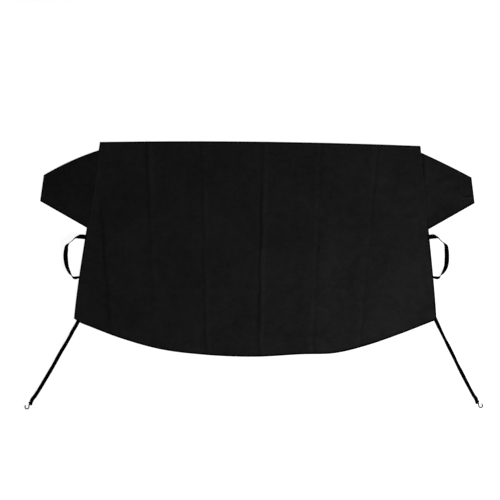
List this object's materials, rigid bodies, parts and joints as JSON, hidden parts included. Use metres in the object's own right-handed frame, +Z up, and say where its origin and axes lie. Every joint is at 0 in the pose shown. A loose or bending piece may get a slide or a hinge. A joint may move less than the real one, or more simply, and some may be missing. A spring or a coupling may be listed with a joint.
{
  "type": "windshield frost cover",
  "caption": "Black fabric windscreen cover with door flaps, mirror loops and elastic corner straps ending in open wire hooks, spread out flat.",
  "frame": {"origin": "middle of the panel and flaps in plan, on the floor that the cover lies on", "axes": "+X across the car to the picture's right, +Y towards the roof edge (the picture's top), +Z up out of the outer face"},
  "size_m": [1.9725, 1.1531, 0.0201],
  "materials": {
    "shell_cloth": "matt black woven cloth",
    "webbing": "black woven webbing",
    "elastic": "black woven elastic",
    "plated_wire": "dark grey plated steel wire"
  },
  "bodies": {
    "root": {"cover_panel": "shell_cloth", "left_wing": "shell_cloth", "right_wing": "shell_cloth", "left_mirror_loop": "webbing", "right_mirror_loop": "webbing", "left_strap": "elastic", "right_strap": "elastic", "left_hook": "plated_wire", "right_hook": "plated_wire"}
  },
  "joints": []
}
